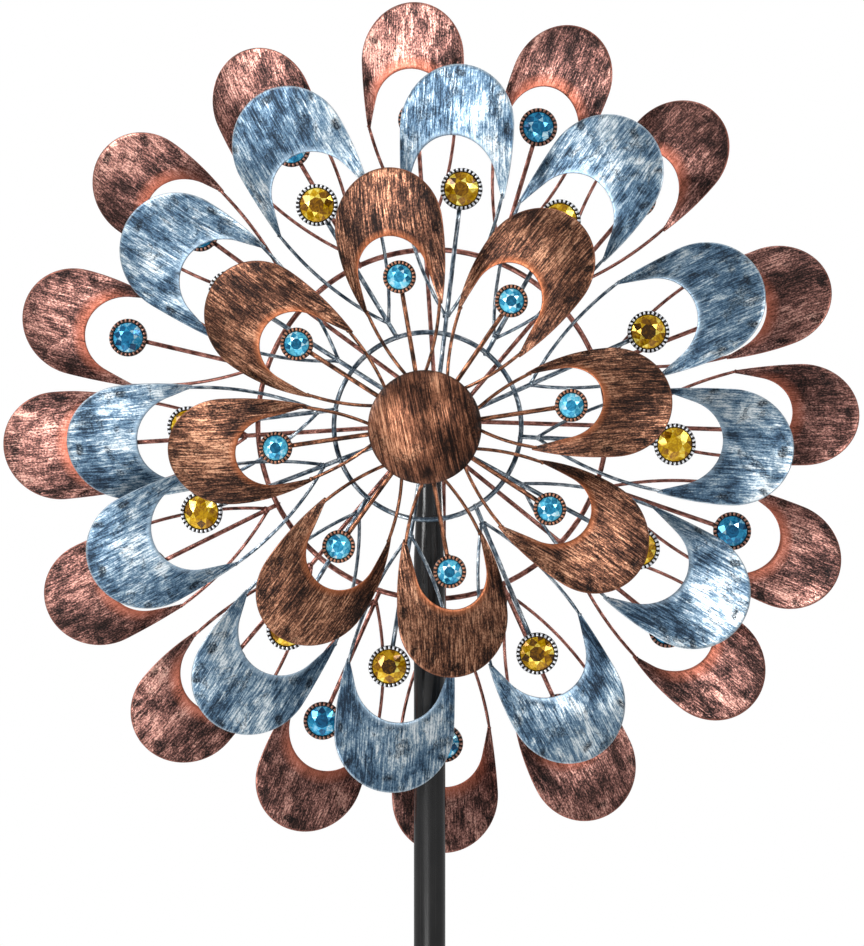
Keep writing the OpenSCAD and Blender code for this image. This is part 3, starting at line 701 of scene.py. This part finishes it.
def bow(p, q, towards, turn, n=22):
    """Points of an arc from p to q that bulges towards a direction."""
    e1 = unit(q - p)
    e2 = unit(towards - np.dot(towards, e1) * e1)
    half = math.radians(turn) / 2
    r = np.linalg.norm(q - p) / (2 * math.sin(half))
    c = (p + q) / 2 - e2 * r * math.cos(half)
    a = np.linspace(-half, half, n)
    return c + r * (np.sin(a)[:, None] * e1 + np.cos(a)[:, None] * e2)


print("sweep helpers ready")

# %% [markdown]
# ## Setting out the wires
# Every spoke crosses its ring and ends under a gem setting. Just outside the ring two legs
# fork from it, one to each horn. All the legs of a rotor are one mesh and all its spokes
# another, because they carry one finish and move as one body.

# %% Legs, spokes and rings
SPOKE, LEG, HUB_R = 1.6, 1.2, 13.5
RING_WIRE = {"middle": 1.7, "rear": 1.9}


def leg_paths(s, fork, d, spread, petal, sink=0.0):
    """Two bowed wires from a fork on the line d to the horns of one petal."""
    across = np.array([-d[1], d[0], 0.0])
    for tip_y in s["tips"]:
        side = math.copysign(1, tip_y)
        x, y = s["tip"] + 3, tip_y - side * 0.9
        horn = on_rotor((x, y, dish_height(x, y, s, 0.5)), s, petal)[0]
        bulge = on_rotor((s["mid"], side, 0), s, petal)[0] - on_rotor((s["mid"], 0, 0), s, petal)[0]
        yield bow(fork + side * spread * across - (0, 0, sink), horn, bulge, s["leg_turn"])


def taper(n, radius):
    """Wires thin a little where they are flattened for welding."""
    t = np.linspace(0, 1, n)
    return radius * (1 - 0.25 * np.clip((t - 0.93) / 0.07, 0, 1))


for key, s in rotors.items():
    rng = np.random.default_rng({"front": 5, "middle": 6, "rear": 7}[key])
    legs, spokes = Bundle(), Bundle()
    for i, (petal, (g, out)) in enumerate(zip(s["petals"], s["gems"])):
        gem = polar(s["gem_r"] + out, g)
        if key == "front":
            foot = start = polar(HUB_R + 2, petal[0])
            d = unit(gem - foot)
            fork, spread, sink = foot + d * 16, 2.95, 0.4
        else:
            foot = polar(s["ring"], s["feet"][i])
            d = unit(gem - foot)
            fork = foot + d * (s["fork"] - s["ring"])
            long_one = i % 2 == (1 if key == "middle" else 0)
            start = foot - d * (s["ring"] - HUB_R - 2) if long_one else foot
            spread, sink = 1.4, 0.0
            spokes.lump(fork, 2.1, rng, (1.2, 1.2, 0.9))
            spokes.lump(foot, 2.0, rng, (1.1, 1.1, 0.95))
        end = gem - unit(gem - foot) * (s["bezel"] / 2 - 1.5)
        line = np.linspace(start, end, 18)
        spokes.tube(line, SPOKE)
        spokes.lump(end - unit(end - start) * 0.6, 1.9, rng)
        for path in leg_paths(s, fork, d, spread, petal, sink):
            legs.tube(path, taper(len(path), LEG))
            legs.lump(path[-1], 1.35, rng, (1, 1, 0.8))
    settle(legs.build(key + "_petal_wires", key, wire_coats[key]), key, key + "_legs")
    node = "front_stems" if key == "front" else key + "_spokes"
    settle(spokes.build(key + "_gem_wires", key, wire_coats[key]), key, node)
    if key != "front":
        hoop = Bundle()
        a = np.linspace(0, 2 * math.pi, 120, endpoint=False)
        hoop.tube(np.c_[np.cos(a), np.sin(a), 0 * a] * s["ring"], RING_WIRE[key], 14, closed=True)
        settle(hoop.build(key + "_hoop", key, wire_coats[key]), key, key + "_ring")
    print(key, "wires:", legs.count + spokes.count, "points")

# %% [markdown]
# ## Gems and their settings
# Each setting is a small blackened cup whose rim is cut into teeth; the tops of the teeth
# are rubbed bright. The gem is a brilliant-cut crown: an eight-sided table, star facets,
# kites and a row of small facets at the girdle. Flat shading keeps every facet a mirror of
# its own. Each facet is also given a painted brightness by its kind, with a random spread:
# painted reflections that stand in for the light a cut stone throws back, and a painted
# glint at the top of the colour scale.

# %% Gem finish
def gem_finish(name, deep, mid, bright, painted_glint):
    p = Paint(name, metallic=0.45, rough=0.09, coat=0.35)
    painted_facet_light = p.add("Attribute", attribute_name="painted_facet_light").outputs["Fac"]
    veil = p.spread(p.noise(p.place(), (210, 210, 210), 2, 0.5, distort=2.4), 0.38)
    level = p.sums((painted_facet_light, 0.8), (veil, 0.22))
    # The facet value is painted light: each facet's brightness is a painted reflection, and the
    # last colour stop is a painted glint.
    colour = p.ramp(level, (0.1, deep), (0.38, mid), (0.7, bright), (0.98, painted_glint))
    return p.finish(colour)


gem_coats = {
    "front": gem_finish("light_blue_gem", tone(14, 84, 118), tone(40, 146, 190),
                        tone(104, 206, 234), tone(226, 248, 254)),
    "middle": gem_finish("yellow_gem", tone(62, 38, 4), tone(142, 94, 6),
                         tone(216, 170, 10), tone(255, 240, 120)),
    "rear": gem_finish("sky_blue_gem", tone(6, 56, 92), tone(18, 108, 156),
                       tone(52, 168, 214), tone(206, 242, 252)),
}


def setting_finish(name, low, high):
    p = Paint(name, metallic=0.7)
    g = p.noise(p.place(), (900, 900, 900), 4, 0.6)
    return p.finish(p.ramp(g, (0.35, low), (0.7, high)), p.fade(g, 0.3, 0.7, 0.3, 0.5),
                    g, 0.3, 0.0002)


black_cup = setting_finish("blackened_cup", tone(16, 14, 14), tone(40, 36, 34))
tooth_coats = {
    "front": setting_finish("copper_teeth", tone(112, 70, 52), tone(196, 140, 112)),
    "middle": setting_finish("silver_teeth", tone(176, 180, 186), tone(236, 238, 242)),
    "rear": setting_finish("rose_teeth", tone(112, 74, 62), tone(190, 142, 124)),
}
print("gem finishes:", [m.name for m in gem_coats.values()])


# %% [markdown]
# ## Cutting gems and turning settings
# The cup is turned from a profile, as on a lathe, and the teeth are small pillows set round
# its rim. The gem's facets are laid out ring by ring, since a displaced sphere would
# never give flat, sharp facets. Each gem is turned by a random amount, as loose stones are.

# %% Gem and setting meshes
def brilliant(r, low, top):
    """Points and facets of a round crown with an eight-sided table."""
    table = [(0.46 * r * math.cos(a), 0.46 * r * math.sin(a), top)
             for a in np.arange(8) * math.pi / 4]
    star = [(0.7 * r * math.cos(a), 0.7 * r * math.sin(a), low + (top - low) * 0.72)
            for a in (np.arange(8) + 0.5) * math.pi / 4]
    girdle = [(r * math.cos(a), r * math.sin(a), low + 0.25 * (top - low))
              for a in np.arange(16) * math.pi / 8]
    base = [(x, y, low - 0.6) for x, y, _ in girdle]
    pts = table + star + girdle + base
    faces, kind = [tuple(range(8))], [0]
    for i in range(8):
        j, h = (i + 1) % 8, (i - 1) % 8
        faces += [(i, 8 + i, j), (i, 8 + h, 16 + 2 * i, 8 + i),
                  (8 + i, 16 + 2 * i, 16 + (2 * i + 1) % 16),
                  (8 + i, 16 + (2 * i + 1) % 16, 16 + (2 * i + 2) % 16)]
        kind += [1, 2, 3, 3]
    for i in range(16):
        faces.append((16 + i, 32 + i, 32 + (i + 1) % 16, 16 + (i + 1) % 16))
        kind.append(4)
    return np.array(pts), faces, kind


def lathe(profile, n=40):
    """A closed ring of faces turned from (radius, height) pairs."""
    a = np.linspace(0, 2 * math.pi, n, endpoint=False)
    pts = np.array([(r * math.cos(t), r * math.sin(t), z) for r, z in profile for t in a])
    faces = [(i * n + k, i * n + (k + 1) % n, (i + 1) * n + (k + 1) % n, (i + 1) * n + k)
             for i in range(len(profile) - 1) for k in range(n)]
    return pts, faces


def tooth(length, width, height):
    """A small pillow with softened corners."""
    x = np.array([-0.5, -0.36, 0.36, 0.5]) * length
    y = np.array([-0.5, -0.3, 0.3, 0.5]) * width
    lift = np.array([0.35, 1, 1, 0.35])
    top = [(a, b, height * min(la, lb)) for a, la in zip(x, lift) for b, lb in zip(y, lift)]
    pts = np.array(top + [(a, b, -0.4) for a in (x[0], x[-1]) for b in (y[0], y[-1])])
    f = [(i * 4 + k, (i + 1) * 4 + k, (i + 1) * 4 + k + 1, i * 4 + k + 1)
         for i in range(3) for k in range(3)]
    f += [(0, 1, 2, 3, 17, 16), (12, 18, 19, 15, 14, 13), (0, 16, 18, 12, 8, 4),
          (3, 7, 11, 15, 19, 17)]
    return pts, f


def spin_points(pts, a, shift=(0, 0, 0)):
    c, n = math.cos(a), math.sin(a)
    return np.c_[pts[:, 0] * c - pts[:, 1] * n, pts[:, 0] * n + pts[:, 1] * c, pts[:, 2]] + shift


SETTING_WALL = 2.7
for key, s in rotors.items():
    rng = np.random.default_rng({"front": 15, "middle": 16, "rear": 17}[key])
    rb, rg = s["bezel"] / 2, s["bezel"] / 2 - SETTING_WALL
    cup_v, cup_f, tops_v, tops_f, gem_v, gem_f, shade = [], [], [], [], [], [], []
    counts = [0, 0, 0]

    def add(vs, fs, store_v, store_f, which):
        store_v.append(vs)
        store_f.extend(tuple(i + counts[which] for i in f) for f in fs)
        counts[which] += len(vs)

    cup = lathe([(0.01, -1.5), (rb - 1, -1.5), (rb - 0.3, -1.2), (rb, -0.6), (rb, 3.2),
                 (rb - 0.5, 3.9), (rg + 0.4, 3.9), (rg, 3.6), (rg, 0.6), (0.01, 0.6)])
    tip = tooth(2.3, 2 * math.pi * rb / s["teeth"] * 0.5, 0.8)
    cut = brilliant(rg - 0.1, 2.2, 6.4)
    for g, out in s["gems"]:
        here = polar(s["gem_r"] + out, g)
        lean = rng.uniform(0, math.pi)
        add(spin_points(cup[0], 0, here), cup[1], cup_v, cup_f, 0)
        for t in range(s["teeth"]):
            a = 2 * math.pi * t / s["teeth"]
            at = here + np.array([(rb - 1.25) * math.cos(a), (rb - 1.25) * math.sin(a), 3.85])
            add(spin_points(tip[0], a, at), tip[1], tops_v, tops_f, 1)
        add(spin_points(cut[0], lean, here), cut[1], gem_v, gem_f, 2)
        # Painted reflections: each facet kind gets a painted brightness (table dark, star facets
        # brightest, kites and girdle between), then a random spread per facet.
        base = {0: 0.12, 1: 0.72, 2: 0.42, 3: 0.6, 4: 0.2}
        shade += [float(np.clip(base[k] + rng.normal(0, 0.22), 0, 1)) for k in cut[2]]
    cups = make_object(key + "_cups", to_frame(np.vstack(cup_v), key), cup_f)
    cups.data.materials.append(black_cup)
    tops = make_object(key + "_teeth", to_frame(np.vstack(tops_v), key), tops_f)
    tops.data.materials.append(tooth_coats[key])
    stones = make_object(key + "_stones", to_frame(np.vstack(gem_v), key), gem_f, smooth=False)
    stones.data.materials.append(gem_coats[key])
    set_values(stones.data, "painted_facet_light", shade, "FACE")
    metal = "silver_setting" if key == "middle" else "copper_setting"
    settle(cups, key, key + "_bezels", slot=metal)
    settle(tops, key, slot=metal)
    settle(stones, key, key + "_gems",
           slot={"front": "light_blue_gem", "middle": "yellow_gem", "rear": "sky_blue_gem"}[key])
    print(key, "gems:", len(s["gems"]))

# %% [markdown]
# ## The dome cap
# A spun cap hides the front hub and the end of the axle. It has the same dry-brushed copper,
# but here the strokes run up and down across the whole cap, slightly slanted, so its finish
# reads a flat coordinate taken across the face.

# %% Dome cap
dome_low, dome_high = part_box("dome_cap")
dome_r = (dome_high.x - dome_low.x) / 2 / MM
dome_z0 = (planes["front"] - dome_high.y) / MM
dome_depth = (dome_high.y - dome_low.y) / MM
cap_r = (dome_r ** 2 + dome_depth ** 2) / (2 * dome_depth)
edge_angle = math.asin(dome_r / cap_r)
outer_cap = [(cap_r * math.sin(t), dome_z0 + dome_depth - cap_r + cap_r * math.cos(t))
             for t in np.linspace(0.0004, edge_angle, 26)]
CAP_WALL = 1.2
inner_cap = [((cap_r - CAP_WALL) * math.sin(t),
              dome_z0 + dome_depth - cap_r + (cap_r - CAP_WALL) * math.cos(t))
             for t in np.linspace(edge_angle * 0.995, 0.0004, 20)]
profile = outer_cap[:-1] + [(dome_r - 0.15, dome_z0 + 0.5), (dome_r, dome_z0 + 0.15),
                            (dome_r - 0.3, dome_z0), (dome_r - 1.1, dome_z0)] + inner_cap[1:]
dome_pts, dome_faces = lathe(profile, 96)
dome = make_object("copper_dome", to_frame(dome_pts, "front"), dome_faces)
slant = math.radians(12)
dome_x, dome_y = dome_pts[:, 0], dome_pts[:, 1]
set_uv(dome.data, "sheet", np.c_[dome_y * math.cos(slant) - dome_x * math.sin(slant),
                                 dome_x * math.cos(slant) + dome_y * math.sin(slant)] * MM)
rim_gap = np.clip(dome_r - np.hypot(dome_x, dome_y), 0, 50)
set_uv(dome.data, "edges", np.c_[0 * rim_gap + 0.05, rim_gap * MM])
dome_coat = brushed_sheet(
    "dome_copper",
    [tone(30, 18, 14), tone(58, 36, 27), tone(84, 53, 39), tone(112, 71, 52), tone(144, 94, 70),
     tone(182, 126, 96), tone(216, 160, 126)],
    tone(26, 18, 16), tone(120, 74, 52), tone(50, 32, 27), metallic=0.85, rough=(0.6, 0.44),
    strokes=(15, 520), weights=(0.4, 0.26, 0.1, 0.12, 0.34), contrast=0.95)
dome.data.materials.append(dome_coat)
settle(dome, "front", "dome_cap")
print("dome radius", round(dome_r, 2), "depth", round(dome_depth, 2))

# %% [markdown]
# ## Pole, stake and running gear
# These keep the shapes of the frame and only need finishes. The pole is enamelled tube: a
# black coat with a soft ripple and faint vertical drag marks. The axle parts are zinc-plated
# and the bearings are ground steel.

# %% Enamel and steel
def enamel():
    p = Paint("black_enamel", rough=0.2, coat=0.35)
    at = p.place()
    ripple = p.noise(at, (420, 420, 60), 3, 0.5)
    drag = p.noise(at, (900, 900, 5), 3, 0.6)
    wear = p.noise(at, (60, 60, 40), 6, 0.7)
    colour = p.ramp(wear, (0.3, tone(10, 10, 11)), (0.75, tone(26, 25, 25)))
    return p.finish(colour, p.fade(drag, 0.3, 0.7, 0.16, 0.3), ripple, 0.12, 0.0002)


def plated(name, low, high, rough):
    p = Paint(name, metallic=0.95)
    at = p.place()
    drawn = p.noise(at, (700, 90, 700), 4, 0.6)
    patch = p.noise(at, (70, 70, 70), 4, 0.6)
    level = p.sums((drawn, 0.5), (patch, 0.5))
    return p.finish(p.ramp(level, (0.35, low), (0.65, high)), p.fade(level, 0.3, 0.7, *rough),
                    drawn, 0.2, 0.0002)


def hub_finish(name, low, mid, high):
    p = Paint(name, metallic=0.55)
    at = p.place()
    brush = p.noise(at, (140, 600, 140), 5, 0.65)
    patch = p.noise(at, (60, 60, 60), 5, 0.7)
    level = p.sums((brush, 0.5), (patch, 0.5))
    colour = p.ramp(level, (0.36, low), (0.5, mid), (0.66, high))
    return p.finish(colour, p.fade(level, 0.3, 0.7, 0.36, 0.58), level, 0.3, 0.0003)


zinc = plated("zinc_steel", tone(146, 148, 152), tone(206, 208, 212), (0.28, 0.5))
race = plated("bearing_steel", tone(170, 172, 178), tone(228, 230, 234), (0.1, 0.22))
coats = {"black_enamel": enamel(), "zinc_steel": zinc, "bearing_steel": race,
         "dark_copper": hub_finish("dark_copper_hub", tone(48, 32, 26), tone(98, 60, 42),
                                   tone(168, 108, 76)),
         "worn_blue": hub_finish("worn_blue_hub", tone(60, 84, 108), tone(104, 136, 164),
                                 tone(192, 206, 218)),
         "rose_copper": hub_finish("rose_copper_hub", tone(64, 42, 38), tone(112, 74, 66),
                                   tone(172, 122, 108))}
for part in frame["record"]["subparts"]:
    obj = nodes[part["node"]]
    if obj.hide_render:
        continue
    obj.data.materials.clear()
    obj.data.materials.append(coats[part["material_slot"]])
    print("finished", part["node"], "in", part["material_slot"])
